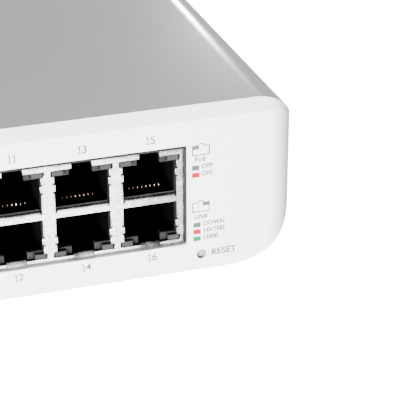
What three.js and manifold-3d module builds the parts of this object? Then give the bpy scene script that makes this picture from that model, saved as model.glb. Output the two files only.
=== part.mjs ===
// Desktop network switch: two stacked blocks of eight jacks, a mains supply and a moulded two-part case.
// Millimetres, +Z up. The front face looks along -Y, +X is to the right, and the feet stand on Z = 0.
import * as THREE from "three";
import { mergeVertices } from "three/addons/utils/BufferGeometryUtils.js";
import Module from "manifold-3d";

const wasm = await Module();
wasm.setup();

// ---------------------------------------------------------------- driving dimensions
const WIDTH = 192;
const DEPTH = 185;
const BODY_HEIGHT = 40.9;
const FEET_HEIGHT = 2.8;
const WALL = 2.5;
const TOP_EDGE_RADIUS = 9.8;
const BOTTOM_EDGE_RADIUS = 15.7;
const CORNER_RADIUS = 7;
const COVER_SKIRT = 3.3;
const SEAM = 0.3;
const CLEARANCE = 0.3;
const SLIP = 0.1;
const ARC_STEPS = 8;

const BODY_BOTTOM = FEET_HEIGHT;
const BODY_TOP = BODY_BOTTOM + BODY_HEIGHT;
const FLOOR = BODY_BOTTOM + WALL;
const CEILING = BODY_TOP - WALL;
const FRONT = -DEPTH / 2;
const BACK = DEPTH / 2;
const SEAM_HEIGHT = BODY_TOP - COVER_SKIRT;

// Jack blocks: each has four columns of two sockets.
const COLUMNS = 4;
const BLOCKS = 2;
const PORT_PITCH = 15.37;
const PORT_WIDTH = 12.38;
const PORT_MARGIN = 1.9;
const BLOCK_WIDTH = (COLUMNS - 1) * PORT_PITCH + PORT_WIDTH + 2 * PORT_MARGIN;
const BLOCK_GAP = 3.5;
const RIGHT_MARGIN = 26.55;
const BLOCK_RIGHT = WIDTH / 2 - RIGHT_MARGIN;
const OPENING_BOTTOM = BODY_BOTTOM + 6.93;
const OPENING_TOP = BODY_BOTTOM + 31.5;
const BEZEL_RECESS = 0.9;
const SHIELD_SHEET = 0.4;
const SHIELD_BOTTOM = OPENING_BOTTOM + CLEARANCE;
const SHIELD_TOP = OPENING_TOP - 0.65;
const SHIELD_DEPTH = 25.5;
const BAR_MIDDLE = BODY_BOTTOM + 18.77;
const BAR_HALF = 0.95;
const STRIP_TOP = 1.55;
const STRIP_BOTTOM = 0.85;
const LATCH_WIDTH = 4.62;
const SOCKET_DEPTH = 15.5;
const LIGHT_WIDTH = 2.9;
const LIGHT_HEIGHT = 1.35;
const LIGHT_INTO_BAR = 0.8;

// Boards.
const BOARD_THICKNESS = 1.6;
const BOARD_TOP = SHIELD_BOTTOM - CLEARANCE;
const BOARD_BOTTOM = BOARD_TOP - BOARD_THICKNESS;

// Fasteners.
const CASE_SCREW_X = 76;
const CASE_SCREW_Y = 62;
const FOOT_X = 68;
const FOOT_Y = 79;
const FOOT_RADIUS = 6.5;
const SCREW_SHANK_RADIUS = 1.4;
const SCREW_HEAD_RADIUS = 2.6;
const SCREW_HEAD_HEIGHT = 1.8;
const SCREW_HOLE_RADIUS = SCREW_SHANK_RADIUS + CLEARANCE;
const SCREW_SEAT = 0.05;
const BOSS_RADIUS = 3.4;

// Mains inlet, in the rear wall.
const INLET_X = -52;
const INLET_Z = BODY_BOTTOM + 19;
const INLET_SCREW_SPACING = 40;

// Reset button, behind a pinhole at the lower right of the front.
const RESET_X = BLOCK_RIGHT + 3.66;
const RESET_Z = BODY_BOTTOM + 3.88;
const RESET_HOLE_RADIUS = 1.15;

// Status light, at the left of the front.
const STATUS_X = -WIDTH / 2 + 19;
const STATUS_Z = BODY_BOTTOM + 19.2;
const STATUS_RADIUS = 1.5;

// ---------------------------------------------------------------- materials
function material(color, roughness, metalness = 0) {
  return new THREE.MeshStandardMaterial({ color, roughness, metalness });
}
const WHITE_CASE = material("#eeeeec", 0.45);
const SHIELD_STEEL = material("#c9cbcc", 0.35, 1);
const STEEL = material("#b4b6b8", 0.4, 1);
const BLACK_PLASTIC = material("#16171a", 0.55);
const RUBBER = material("#3a3b3d", 0.9);
const GREEN_BOARD = material("#14502f", 0.5);
const CLEAR_PLASTIC = material("#b9c0bd", 0.25);
const CHIP = material("#1b1c1e", 0.6);
const ALUMINIUM = material("#a9acb0", 0.35, 1);
const BRASS = material("#c9a24b", 0.3, 1);
const FERRITE = material("#2d2e30", 0.75);
const YELLOW_TAPE = material("#d6b53c", 0.5);
const CAN_SLEEVE = material("#23262e", 0.35);
const CERAMIC = material("#e6e1d4", 0.4);
const AMBER_SHEET = material("#d8d3bd", 0.5);
const WIRE_SLEEVE = material("#a3262b", 0.5);
const GREY_PLASTIC = material("#8b8e90", 0.5);

// ---------------------------------------------------------------- solids
// A closed three.js geometry as a manifold-3d solid.
function solid(geometry) {
  const bare = geometry.index ? geometry.toNonIndexed() : geometry;
  bare.deleteAttribute("normal");
  bare.deleteAttribute("uv");
  const merged = mergeVertices(bare, 1e-4);
  return new wasm.Manifold(
    new wasm.Mesh({
      numProp: 3,
      vertProperties: merged.attributes.position.array,
      triVerts: new Uint32Array(merged.index.array),
    }),
  );
}

// A solid as a named mesh.
function piece(name, shape, look) {
  const { vertProperties, triVerts } = shape.getMesh();
  const geometry = new THREE.BufferGeometry();
  geometry.setAttribute("position", new THREE.BufferAttribute(vertProperties, 3));
  geometry.setIndex(new THREE.BufferAttribute(triVerts, 1));
  geometry.computeVertexNormals();
  const mesh = new THREE.Mesh(geometry, look);
  mesh.name = name;
  return mesh;
}

function placed(mesh, x, y, z) {
  mesh.position.set(x, y, z);
  return mesh;
}

function joined(shapes) {
  return shapes.reduce((sum, shape) => sum.add(shape));
}

function cut(shape, ...tools) {
  return tools.reduce((rest, tool) => rest.subtract(tool), shape);
}

function box(x0, x1, y0, y1, z0, z1) {
  const geometry = new THREE.BoxGeometry(x1 - x0, y1 - y0, z1 - z0);
  geometry.translate((x0 + x1) / 2, (y0 + y1) / 2, (z0 + z1) / 2);
  return solid(geometry);
}

// A box given by its middle in X and Y, its sizes and its lowest Z.
function block(x, y, z, sizeX, sizeY, sizeZ) {
  return box(x - sizeX / 2, x + sizeX / 2, y - sizeY / 2, y + sizeY / 2, z, z + sizeZ);
}

function rodZ(x, y, z0, z1, radius, sides = 20) {
  const geometry = new THREE.CylinderGeometry(radius, radius, z1 - z0, sides);
  geometry.rotateX(Math.PI / 2);
  geometry.translate(x, y, (z0 + z1) / 2);
  return solid(geometry);
}

function rodY(x, z, y0, y1, radius, sides = 20) {
  const geometry = new THREE.CylinderGeometry(radius, radius, y1 - y0, sides);
  geometry.translate(x, (y0 + y1) / 2, z);
  return solid(geometry);
}

function rodX(y, z, x0, x1, radius, sides = 20) {
  const geometry = new THREE.CylinderGeometry(radius, radius, x1 - x0, sides);
  geometry.rotateZ(Math.PI / 2);
  geometry.translate((x0 + x1) / 2, y, z);
  return solid(geometry);
}

// A rectangle with round corners, from (left, bottom) to (right, top).
function roundRectangle(left, right, bottom, top, bottomRadius, topRadius) {
  const outline = new THREE.Shape();
  outline.moveTo(left + bottomRadius, bottom);
  outline.lineTo(right - bottomRadius, bottom);
  outline.absarc(right - bottomRadius, bottom + bottomRadius, bottomRadius, -Math.PI / 2, 0);
  outline.absarc(right - topRadius, top - topRadius, topRadius, 0, Math.PI / 2);
  outline.absarc(left + topRadius, top - topRadius, topRadius, Math.PI / 2, Math.PI);
  outline.absarc(left + bottomRadius, bottom + bottomRadius, bottomRadius, Math.PI, 1.5 * Math.PI);
  return outline;
}

function extrudeZ(outline, z0, z1) {
  const geometry = new THREE.ExtrudeGeometry(outline, {
    depth: z1 - z0,
    bevelEnabled: false,
    curveSegments: ARC_STEPS,
  });
  geometry.translate(0, 0, z0);
  return solid(geometry);
}

// The outline's first coordinate stays X and its second becomes Z.
function extrudeY(outline, y0, y1) {
  const geometry = new THREE.ExtrudeGeometry(outline, {
    depth: y1 - y0,
    bevelEnabled: false,
    curveSegments: ARC_STEPS,
  });
  geometry.rotateX(Math.PI / 2);
  geometry.translate(0, y1, 0);
  return solid(geometry);
}

// ---------------------------------------------------------------- case
// The case's outer form shrunk by a distance: its front outline crossed with its plan outline.
function caseForm(inset) {
  const halfWidth = WIDTH / 2 - inset;
  const frontOutline = roundRectangle(
    -halfWidth,
    halfWidth,
    BODY_BOTTOM + inset,
    BODY_TOP - inset,
    BOTTOM_EDGE_RADIUS - inset,
    TOP_EDGE_RADIUS - inset,
  );
  const cornerRadius = CORNER_RADIUS - inset;
  const planOutline = roundRectangle(
    -halfWidth,
    halfWidth,
    FRONT + inset,
    BACK - inset,
    cornerRadius,
    cornerRadius,
  );
  const across = extrudeY(frontOutline, FRONT - 1, BACK + 1);
  return across.intersect(extrudeZ(planOutline, 0, BODY_TOP + 1));
}

const caseShell = cut(caseForm(0), caseForm(WALL));

function slab(z0, z1) {
  return box(-WIDTH, WIDTH, -DEPTH, DEPTH, z0, z1);
}

function caseScrewPlaces() {
  const places = [];
  for (const y of [-CASE_SCREW_Y, CASE_SCREW_Y]) {
    for (const x of [-CASE_SCREW_X, CASE_SCREW_X]) places.push([x, y]);
  }
  return places;
}

const MAIN_BOARD_SCREWS = [
  [-62, -66],
  [62, -56],
  [-62, -14],
  [62, -14],
];
const SUPPLY_BOARD_SCREWS = [
  [-78, 12],
  [14, 12],
  [-78, 54],
  [14, 78],
];

// The cover's lip stands just inside the housing's wall and is open through the middle.
const LIP_THICKNESS = 1.5;
const LIP_DROP = 2.5;
const LIP_INSIDE_X = WIDTH / 2 - 9.2;
const LIP_INSIDE_Y = DEPTH / 2 - WALL - CLEARANCE - LIP_THICKNESS;

function lipRing(inset, z0, z1) {
  const middle = box(-LIP_INSIDE_X, LIP_INSIDE_X, -LIP_INSIDE_Y, LIP_INSIDE_Y, 0, 2 * BODY_TOP);
  return cut(caseForm(inset), middle).intersect(slab(z0, z1));
}

function topCover() {
  const skin = caseShell.intersect(slab(SEAM_HEIGHT + SEAM / 2, BODY_TOP + 1));
  const lip = lipRing(WALL + CLEARANCE, SEAM_HEIGHT - LIP_DROP, SEAM_HEIGHT + 1.5);
  const lipRoot = lipRing(WALL / 2, SEAM_HEIGHT + SEAM / 2, SEAM_HEIGHT + 1.5);
  const shapes = [skin, lip, lipRoot];
  for (const [x, y] of caseScrewPlaces()) {
    shapes.push(rodZ(x, y, FLOOR + 3, CEILING + 0.5, BOSS_RADIUS));
  }
  const holes = caseScrewPlaces().map(([x, y]) => rodZ(x, y, FLOOR, FLOOR + 16, SCREW_HOLE_RADIUS, 14));
  return piece("top_cover", cut(joined(shapes), ...holes), WHITE_CASE);
}

// Vertical slots in the rear wall and long slots in the floor let warm air through.
const SLOT_WIDTH = 2.2;
const REAR_SLOTS = 14;
const REAR_SLOT_PITCH = 5.2;
const FLOOR_SLOTS = 11;
const FLOOR_SLOT_PITCH = 6.5;

function ventSlots() {
  const slots = [];
  for (let i = 0; i < REAR_SLOTS; i++) {
    const x = -12 + i * REAR_SLOT_PITCH;
    slots.push(block(x, BACK, BODY_BOTTOM + 12, SLOT_WIDTH, 4 * WALL, 16));
  }
  for (let i = 0; i < FLOOR_SLOTS; i++) {
    const x = (i - (FLOOR_SLOTS - 1) / 2) * FLOOR_SLOT_PITCH;
    slots.push(block(x, -36, 0, SLOT_WIDTH, 26, FLOOR + 1));
  }
  return slots;
}

// The left edge of a jack block's opening: block 0 is the right one.
function blockLeft(index) {
  return BLOCK_RIGHT - BLOCK_WIDTH - index * (BLOCK_WIDTH + BLOCK_GAP);
}

function housing() {
  const shell = caseShell.intersect(slab(0, SEAM_HEIGHT - SEAM / 2));
  const shapes = [shell];
  for (const [x, y] of [...MAIN_BOARD_SCREWS, ...SUPPLY_BOARD_SCREWS]) {
    shapes.push(rodZ(x, y, FLOOR - 0.5, BOARD_BOTTOM, BOSS_RADIUS - 0.4));
  }
  for (const [x, y] of caseScrewPlaces()) shapes.push(rodZ(x, y, FLOOR - 0.5, FLOOR + 2.4, 4.6));
  const tools = [];
  for (let index = 0; index < BLOCKS; index++) {
    const left = blockLeft(index);
    tools.push(
      box(left, left + BLOCK_WIDTH, FRONT - 1, FRONT + WALL + 1, OPENING_BOTTOM, OPENING_TOP),
    );
  }
  for (const [x, y] of caseScrewPlaces()) {
    tools.push(rodZ(x, y, 0, FLOOR + 6, SCREW_HOLE_RADIUS, 14));
    tools.push(rodZ(x, y, 0, BODY_BOTTOM + 2.6, SCREW_HEAD_RADIUS + CLEARANCE, 18));
  }
  for (const [x, y] of [...MAIN_BOARD_SCREWS, ...SUPPLY_BOARD_SCREWS]) {
    tools.push(rodZ(x, y, BODY_BOTTOM + 1.2, BOARD_TOP, SCREW_HOLE_RADIUS, 14));
  }
  tools.push(block(INLET_X, BACK, INLET_Z - 10.2, 28, 4 * WALL, 20.4));
  for (const side of [-1, 1]) {
    const x = INLET_X + (side * INLET_SCREW_SPACING) / 2;
    tools.push(rodY(x, INLET_Z, BACK - 2 * WALL, BACK + 1, SCREW_HOLE_RADIUS, 14));
  }
  tools.push(rodY(RESET_X, RESET_Z, FRONT - 1, FRONT + 2 * WALL, RESET_HOLE_RADIUS));
  tools.push(rodY(STATUS_X, STATUS_Z, FRONT - 1, FRONT + 2 * WALL, STATUS_RADIUS + SLIP));
  tools.push(...ventSlots());
  return piece("housing", cut(joined(shapes), ...tools), WHITE_CASE);
}

// ---------------------------------------------------------------- feet and screws
function foot(name, x, y) {
  const profile = [
    new THREE.Vector2(0, 0),
    new THREE.Vector2(FOOT_RADIUS - 1, 0),
    new THREE.Vector2(FOOT_RADIUS, 0.8),
    new THREE.Vector2(FOOT_RADIUS, FEET_HEIGHT),
    new THREE.Vector2(0, FEET_HEIGHT),
  ];
  const geometry = new THREE.LatheGeometry(profile, 24);
  geometry.rotateX(Math.PI / 2);
  return placed(piece(name, solid(geometry), RUBBER), x, y, 0);
}

// A cross-headed screw whose head starts at Z = 0 and whose shank runs the other way.
function screw(name, x, y, z, length, headUp) {
  const rootOverlap = 0.5;
  const crossDepth = 1;
  const shank = rodZ(0, 0, -length, rootOverlap, SCREW_SHANK_RADIUS, 12);
  const head = rodZ(0, 0, 0, SCREW_HEAD_HEIGHT, SCREW_HEAD_RADIUS, 18);
  const crossZ = SCREW_HEAD_HEIGHT - crossDepth;
  const cross = block(0, 0, crossZ, 2.4, 0.7, 2).add(block(0, 0, crossZ, 0.7, 2.4, 2));
  const mesh = piece(name, cut(shank.add(head), cross), STEEL);
  if (!headUp) mesh.rotation.x = Math.PI;
  return placed(mesh, x, y, z);
}

const CORNER_NAMES = ["front_left", "front_right", "rear_left", "rear_right"];

function feetAndCaseScrews() {
  const group = new THREE.Group();
  CORNER_NAMES.forEach((corner, i) => {
    const sideX = i % 2 ? 1 : -1;
    const sideY = i < 2 ? -1 : 1;
    const [screwX, screwY] = [sideX * CASE_SCREW_X, sideY * CASE_SCREW_Y];
    group.add(foot(`foot_${corner}`, sideX * FOOT_X, sideY * FOOT_Y));
    group.add(screw(`case_screw_${corner}`, screwX, screwY, BODY_BOTTOM + 2.5, 12, false));
  });
  return group;
}

// ---------------------------------------------------------------- jack blocks
// Inside a block X runs from its left edge and Y from the front face of the case.
const SHIELD_LEFT = 0.25;
const SHIELD_RIGHT = BLOCK_WIDTH - 0.25;
const FRAME_FRONT = BEZEL_RECESS + SHIELD_SHEET + SLIP;
const UPPER_FLOOR = BAR_MIDDLE + BAR_HALF;
const UPPER_CEILING = SHIELD_TOP - STRIP_TOP;
const LOWER_FLOOR = SHIELD_BOTTOM + STRIP_BOTTOM;
const LOWER_CEILING = BAR_MIDDLE - BAR_HALF;
const LATCH_TOP = SHIELD_TOP - SHIELD_SHEET - SLIP;
const LATCH_BOTTOM = SHIELD_BOTTOM + 0.3;
const MODULE_FRONT = FRAME_FRONT + SOCKET_DEPTH + CLEARANCE;

function portMiddle(column) {
  return PORT_MARGIN + PORT_WIDTH / 2 + column * PORT_PITCH;
}

// The four light windows of a column stand at the outer corners of its sockets.
function lightBoxes(column, grow, y0, y1) {
  const boxes = { upper: [], lower: [] };
  for (const side of [-1, 1]) {
    const edge = portMiddle(column) + side * (PORT_WIDTH / 2 + LIGHT_INTO_BAR);
    const inner = edge - side * LIGHT_WIDTH;
    const x0 = Math.min(edge, inner) - grow;
    const x1 = Math.max(edge, inner) + grow;
    boxes.upper.push(box(x0, x1, y0, y1, UPPER_CEILING - LIGHT_HEIGHT - grow, UPPER_CEILING + grow / 2));
    boxes.lower.push(box(x0, x1, y0, y1, LOWER_FLOOR - grow / 2, LOWER_FLOOR + LIGHT_HEIGHT + grow));
  }
  return boxes;
}

function columns() {
  return Array.from({ length: COLUMNS }, (_, column) => column);
}

function jackShield(name) {
  const outside = box(
    SHIELD_LEFT,
    SHIELD_RIGHT,
    BEZEL_RECESS,
    BEZEL_RECESS + SHIELD_DEPTH,
    SHIELD_BOTTOM,
    SHIELD_TOP,
  );
  const inside = box(
    SHIELD_LEFT + SHIELD_SHEET,
    SHIELD_RIGHT - SHIELD_SHEET,
    BEZEL_RECESS + SHIELD_SHEET,
    BEZEL_RECESS + SHIELD_DEPTH - SHIELD_SHEET,
    SHIELD_BOTTOM - 1,
    SHIELD_TOP - SHIELD_SHEET,
  );
  const tools = [inside];
  for (const column of columns()) {
    const x = portMiddle(column);
    const [x0, x1] = [x - PORT_WIDTH / 2, x + PORT_WIDTH / 2];
    const [y0, y1] = [0, BEZEL_RECESS + SHIELD_SHEET];
    tools.push(box(x0, x1, y0, y1 + 0.2, UPPER_FLOOR, UPPER_CEILING));
    tools.push(box(x0, x1, y0, y1 + 0.2, LOWER_FLOOR, LOWER_CEILING));
    tools.push(box(x - LATCH_WIDTH / 2, x + LATCH_WIDTH / 2, y0, y1, UPPER_CEILING - 1, SHIELD_TOP + 1));
    tools.push(box(x - LATCH_WIDTH / 2, x + LATCH_WIDTH / 2, y0, y1, SHIELD_BOTTOM - 1, LOWER_FLOOR + 1));
    const windows = lightBoxes(column, SLIP, y0, y1 + 0.1);
    tools.push(...windows.upper, ...windows.lower);
  }
  return piece(name, cut(outside, ...tools), SHIELD_STEEL);
}

function jackFrame(name) {
  const left = SHIELD_LEFT + SHIELD_SHEET + SLIP;
  const right = SHIELD_RIGHT - SHIELD_SHEET - SLIP;
  const outside = box(left, right, FRAME_FRONT, FRAME_FRONT + SOCKET_DEPTH, SHIELD_BOTTOM, LATCH_TOP);
  const tools = [];
  for (const column of columns()) {
    const x = portMiddle(column);
    const [x0, x1] = [x - PORT_WIDTH / 2 + 0.2, x + PORT_WIDTH / 2 - 0.2];
    const y1 = FRAME_FRONT + SOCKET_DEPTH + 1;
    tools.push(box(x0, x1, 0, y1, UPPER_FLOOR, UPPER_CEILING));
    tools.push(box(x0, x1, 0, y1, LOWER_FLOOR, LOWER_CEILING));
    tools.push(box(x0, x1, FRAME_FRONT + 3, y1, LOWER_CEILING - 0.5, UPPER_FLOOR + 0.5));
    tools.push(box(x - LATCH_WIDTH / 2, x + LATCH_WIDTH / 2, 0, y1, UPPER_CEILING - 1, LATCH_TOP - 0.6));
    tools.push(box(x - LATCH_WIDTH / 2, x + LATCH_WIDTH / 2, 0, y1, LATCH_BOTTOM, LOWER_FLOOR + 1));
    const channels = lightBoxes(column, SLIP, 0, y1);
    tools.push(...channels.upper, ...channels.lower);
  }
  return piece(name, cut(outside, ...tools), BLACK_PLASTIC);
}

// One column's contacts in their moulding: a rear block and a tongue between the two sockets.
function contactModule(name, column) {
  const x = portMiddle(column);
  const rearEnd = BEZEL_RECESS + SHIELD_DEPTH - SHIELD_SHEET - SLIP;
  const rear = box(
    x - PORT_WIDTH / 2,
    x + PORT_WIDTH / 2,
    MODULE_FRONT,
    rearEnd,
    LOWER_FLOOR + LIGHT_HEIGHT + CLEARANCE,
    UPPER_CEILING - LIGHT_HEIGHT - CLEARANCE,
  );
  const tongueHalf = PORT_WIDTH / 2 - 0.5;
  const tongue = box(
    x - tongueHalf,
    x + tongueHalf,
    FRAME_FRONT + 3 + CLEARANCE,
    MODULE_FRONT + 1,
    LOWER_CEILING - 0.2,
    UPPER_FLOOR + 0.2,
  );
  return piece(name, rear.add(tongue), BLACK_PLASTIC);
}

// One row's light pipes: eight bars joined by a cross bar behind the sockets.
function lightPipes(name, row) {
  const barEnd = MODULE_FRONT + 4;
  const bars = columns().flatMap((column) => lightBoxes(column, 0, BEZEL_RECESS + 0.05, barEnd)[row]);
  const low = row === "upper" ? UPPER_CEILING - LIGHT_HEIGHT : LOWER_FLOOR;
  const cross = box(
    portMiddle(0) - PORT_WIDTH / 2,
    portMiddle(COLUMNS - 1) + PORT_WIDTH / 2,
    barEnd - 2,
    barEnd,
    low,
    low + LIGHT_HEIGHT,
  );
  return piece(name, joined([...bars, cross]), CLEAR_PLASTIC);
}

function jackBlock(side, index) {
  const group = new THREE.Group();
  group.position.set(blockLeft(index), FRONT, 0);
  group.add(jackShield(`jack_shield_${side}`));
  group.add(jackFrame(`jack_frame_${side}`));
  for (const column of columns()) {
    group.add(contactModule(`contact_module_${side}_${column + 1}`, column));
  }
  for (const row of ["upper", "lower"]) group.add(lightPipes(`light_pipes_${side}_${row}`, row));
  return group;
}

// ---------------------------------------------------------------- main board
const MAIN_BOARD = { left: -80, right: 80, front: FRONT + WALL + 4.5, back: -6 };
const SUPPLY_BOARD = { left: -84, right: 20, front: 6, back: 84 };

function boardPlate({ left, right, front, back }) {
  return box(left, right, front, back, BOARD_BOTTOM, BOARD_TOP);
}

function mainBoard() {
  const plate = boardPlate(MAIN_BOARD);
  const holes = MAIN_BOARD_SCREWS.map(([x, y]) => rodZ(x, y, 0, BODY_TOP, SCREW_HOLE_RADIUS, 12));
  for (const [x, y] of caseScrewPlaces()) holes.push(rodZ(x, y, 0, BODY_TOP, BOSS_RADIUS + 0.6, 16));
  return piece("main_board", cut(plate, ...holes), GREEN_BOARD);
}

function finnedHeatsink(name, x, y, z, sizeX, sizeY, height, fins) {
  const base = 2.5;
  const finThickness = 1.2;
  const shapes = [block(0, 0, 0, sizeX, sizeY, base)];
  for (let i = 0; i < fins; i++) {
    const finX = -sizeX / 2 + finThickness / 2 + (i * (sizeX - finThickness)) / (fins - 1);
    shapes.push(block(finX, 0, base - 0.5, finThickness, sizeY, height - base + 0.5));
  }
  return placed(piece(name, joined(shapes), ALUMINIUM), x, y, z);
}

function boardScrew(name, [x, y]) {
  return screw(name, x, y, BOARD_TOP, 5, true);
}

const CHIP_HEIGHT = 1.4;
const SWITCH_CHIP = { x: 30, y: -36 };

function mainBoardGroup() {
  const group = new THREE.Group();
  const chip = (name, x, y, sizeX, sizeY) =>
    placed(piece(name, block(0, 0, 0, sizeX, sizeY, CHIP_HEIGHT), CHIP), x, y, BOARD_TOP);
  group.add(mainBoard());
  MAIN_BOARD_SCREWS.forEach((place, i) => {
    group.add(boardScrew(`board_screw_${CORNER_NAMES[i]}`, place));
  });
  group.add(chip("switch_chip", SWITCH_CHIP.x, SWITCH_CHIP.y, 27, 27));
  group.add(
    finnedHeatsink(
      "switch_chip_heatsink",
      SWITCH_CHIP.x,
      SWITCH_CHIP.y,
      BOARD_TOP + CHIP_HEIGHT + SLIP,
      38,
      38,
      18,
      11,
    ),
  );
  group.add(chip("poe_controller_1", -22, -42, 9, 9));
  group.add(chip("poe_controller_2", -44, -42, 9, 9));
  group.add(placed(piece("power_inductor_1", block(0, 0, 0, 10, 10, 5), FERRITE), -14, -20, BOARD_TOP));
  group.add(placed(piece("power_inductor_2", block(0, 0, 0, 10, 10, 5), FERRITE), -30, -20, BOARD_TOP));
  group.add(placed(piece("board_capacitor", rodZ(0, 0, 0, 12, 4, 20), CAN_SLEEVE), -46, -22, BOARD_TOP));
  return group;
}

// ---------------------------------------------------------------- reset switch
const BUTTON_TIP = FRONT + 0.7;
const BUTTON_TIP_RADIUS = 0.85;
const BUTTON_FRONT = FRONT + 4.4;
const SWITCH_FRONT = FRONT + 5.6;
const SWITCH_BACK = FRONT + 9.6;

function resetSwitch() {
  const top = BOARD_BOTTOM - 0.02;
  const bottom = top - 2.6;
  const body = box(RESET_X - 3.1, RESET_X + 3.1, SWITCH_FRONT, SWITCH_BACK, bottom, top);
  const pocket = block(RESET_X, SWITCH_FRONT + 0.6, RESET_Z - 0.85, 2.7, 3.2, 1.7);
  return piece("reset_switch", cut(body, pocket), BLACK_PLASTIC);
}

function resetButton() {
  const buttonBack = SWITCH_FRONT + 1.3;
  const root = box(RESET_X - 1, RESET_X + 1, BUTTON_FRONT, buttonBack, RESET_Z - 0.6, RESET_Z + 0.6);
  const plunger = rodY(RESET_X, RESET_Z, BUTTON_TIP, BUTTON_FRONT + 0.5, BUTTON_TIP_RADIUS);
  return piece("reset_button", root.add(plunger), GREY_PLASTIC);
}

function statusLightPipe() {
  const shape = rodY(STATUS_X, STATUS_Z, FRONT + 0.15, FRONT + 11, STATUS_RADIUS).add(
    block(STATUS_X, FRONT + 9.5, BOARD_TOP + 0.2, 3, 3, STATUS_Z - BOARD_TOP),
  );
  return piece("status_light_pipe", shape, CLEAR_PLASTIC);
}

// ---------------------------------------------------------------- mains supply
function supplyBoard() {
  const inletSpace = box(INLET_X - 32, INLET_X + 32, 62, BACK, 0, BODY_TOP);
  const plate = cut(boardPlate(SUPPLY_BOARD), inletSpace);
  const holes = SUPPLY_BOARD_SCREWS.map(([x, y]) => rodZ(x, y, 0, BODY_TOP, SCREW_HOLE_RADIUS, 12));
  for (const [x, y] of caseScrewPlaces()) holes.push(rodZ(x, y, 0, BODY_TOP, BOSS_RADIUS + 0.6, 16));
  return piece("supply_board", cut(plate, ...holes), GREEN_BOARD);
}

function transformer() {
  const core = block(0, 0, 3, 26, 12, 20);
  const winding = block(0, 0, 1, 18, 22, 22);
  const bobbin = block(0, 0, 0, 24, 26, 2.5);
  const shape = joined([core, winding, bobbin]);
  return placed(piece("mains_transformer", shape, YELLOW_TAPE), -24, 28, BOARD_TOP);
}

function chokeCoil() {
  const ring = cut(rodX(0, 8.5, -4.5, 4.5, 8, 20), rodX(0, 8.5, -6, 6, 3.2, 12));
  const base = block(0, 0, 0, 12, 14, 1.5);
  return placed(piece("mains_choke", ring.add(base), FERRITE), -66, 44, BOARD_TOP);
}

function supplyGroup() {
  const group = new THREE.Group();
  group.add(supplyBoard());
  SUPPLY_BOARD_SCREWS.forEach((place, i) => {
    group.add(boardScrew(`supply_screw_${CORNER_NAMES[i]}`, place));
  });
  group.add(transformer());
  group.add(chokeCoil());
  group.add(placed(piece("mains_fuse", rodX(0, 4, -10, 10, 2.8, 12), CERAMIC), -69, 24, BOARD_TOP));
  group.add(placed(piece("bulk_capacitor", rodY(0, 9.2, -15, 15, 9, 24), CAN_SLEEVE), -48, 34, BOARD_TOP));
  group.add(placed(piece("output_capacitor", rodZ(0, 0, 0, 20, 5, 20), CAN_SLEEVE), 8, 46, BOARD_TOP));
  group.add(placed(piece("rectifier_heatsink", supplyFin(), ALUMINIUM), -4, 30, BOARD_TOP));
  const sheet = box(-72, 8, 16, 58, FLOOR + 0.1, FLOOR + 0.6);
  group.add(piece("insulating_sheet", sheet, AMBER_SHEET));
  return group;
}

// An upright plate with a folded foot, which cools the supply's power transistors.
function supplyFin() {
  return joined([block(0, 0, 0, 1.6, 40, 24), block(2.5, 0, 22.4, 6.6, 40, 1.6)]);
}

// ---------------------------------------------------------------- mains inlet
const INLET_FLANGE = { width: 50, height: 22.6, thickness: 2.4 };
const INLET_BODY = { width: 27.4, height: 19.8, depth: 17 };
const INLET_SOCKET = { width: 24.2, height: 16.6, depth: 15.5, chamfer: 4.2 };
const PIN = { width: 2, height: 4, length: 13.5, spacing: 7, offset: 2 };

// The inlet's outline: a rectangle whose two upper corners are cut off.
function inletOutline(width, height, chamfer) {
  const outline = new THREE.Shape();
  outline.moveTo(-width / 2, -height / 2);
  outline.lineTo(width / 2, -height / 2);
  outline.lineTo(width / 2, height / 2 - chamfer);
  outline.lineTo(width / 2 - chamfer, height / 2);
  outline.lineTo(-width / 2 + chamfer, height / 2);
  outline.lineTo(-width / 2, height / 2 - chamfer);
  outline.closePath();
  return outline;
}

function inletBody() {
  const flange = extrudeY(
    roundRectangle(
      -INLET_FLANGE.width / 2,
      INLET_FLANGE.width / 2,
      -INLET_FLANGE.height / 2,
      INLET_FLANGE.height / 2,
      5,
      5,
    ),
    0.05,
    INLET_FLANGE.thickness,
  );
  const body = box(
    -INLET_BODY.width / 2,
    INLET_BODY.width / 2,
    -INLET_BODY.depth,
    0.5,
    -INLET_BODY.height / 2,
    INLET_BODY.height / 2,
  );
  const socketFloor = INLET_FLANGE.thickness - INLET_SOCKET.depth;
  const socket = extrudeY(
    inletOutline(INLET_SOCKET.width, INLET_SOCKET.height, INLET_SOCKET.chamfer),
    socketFloor,
    INLET_FLANGE.thickness + 1,
  );
  const holes = [-1, 1].map((side) => {
    const x = (side * INLET_SCREW_SPACING) / 2;
    return rodY(x, 0, -1, INLET_FLANGE.thickness + 1, SCREW_HOLE_RADIUS, 14);
  });
  const slots = pinPlaces().map(({ x, z }) =>
    box(
      x - PIN.width / 2 - SLIP,
      x + PIN.width / 2 + SLIP,
      -INLET_BODY.depth - 1,
      socketFloor + 1,
      z - PIN.height / 2 - SLIP,
      z + PIN.height / 2 + SLIP,
    ),
  );
  return piece("mains_inlet", cut(flange.add(body), socket, ...holes, ...slots), BLACK_PLASTIC);
}

function pinPlaces() {
  return [
    { name: "live", x: -PIN.spacing, z: -PIN.offset },
    { name: "earth", x: 0, z: PIN.offset },
    { name: "neutral", x: PIN.spacing, z: -PIN.offset },
  ];
}

function inletPin({ name, x, z }) {
  const tip = INLET_FLANGE.thickness - INLET_SOCKET.depth + PIN.length;
  const shape = box(
    x - PIN.width / 2,
    x + PIN.width / 2,
    -INLET_BODY.depth - 5,
    tip,
    z - PIN.height / 2,
    z + PIN.height / 2,
  );
  return piece(`inlet_pin_${name}`, shape, BRASS);
}

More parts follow.
